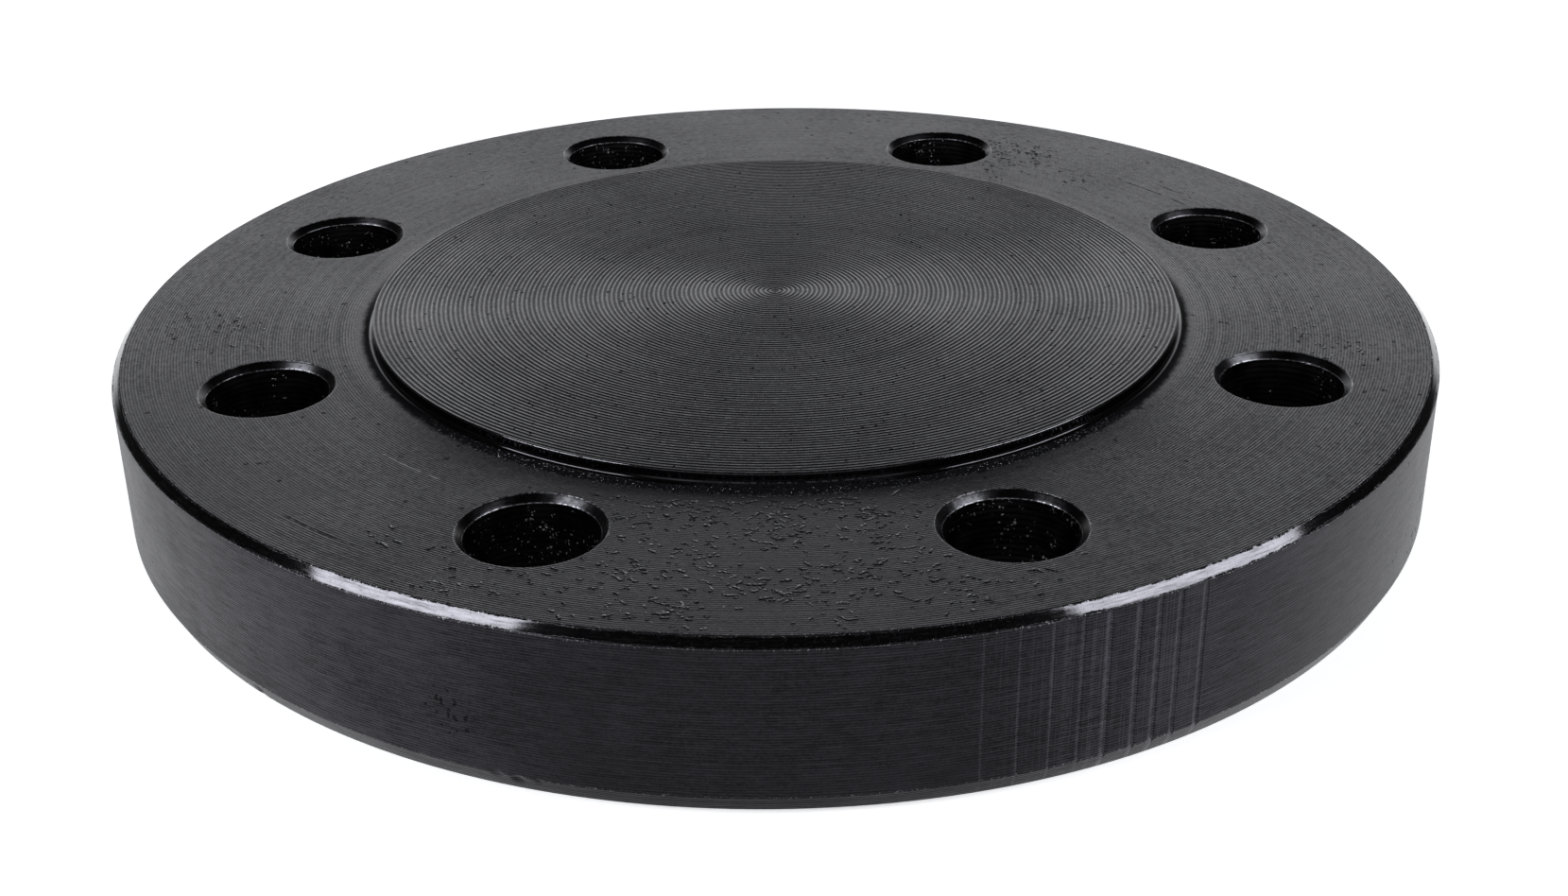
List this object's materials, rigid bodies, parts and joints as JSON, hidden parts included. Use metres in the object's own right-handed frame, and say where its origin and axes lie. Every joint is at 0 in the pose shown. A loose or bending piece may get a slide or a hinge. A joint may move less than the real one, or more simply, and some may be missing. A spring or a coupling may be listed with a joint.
{
  "type": "blind flange",
  "caption": "Round steel plate with a low raised sealing face and a ring of countersunk bolt holes, which closes off the end of a pipe line.",
  "frame": {"origin": "centre of the flat back, on the axis of the disc", "axes": "+Z along the axis of the disc, out of the raised face; +X and +Y each run midway between two bolt holes"},
  "size_m": [0.254, 0.254, 0.0333],
  "materials": {
    "blackened_steel": "satin"
  },
  "bodies": {
    "root": {"blind_flange": "blackened_steel"}
  },
  "joints": []
}
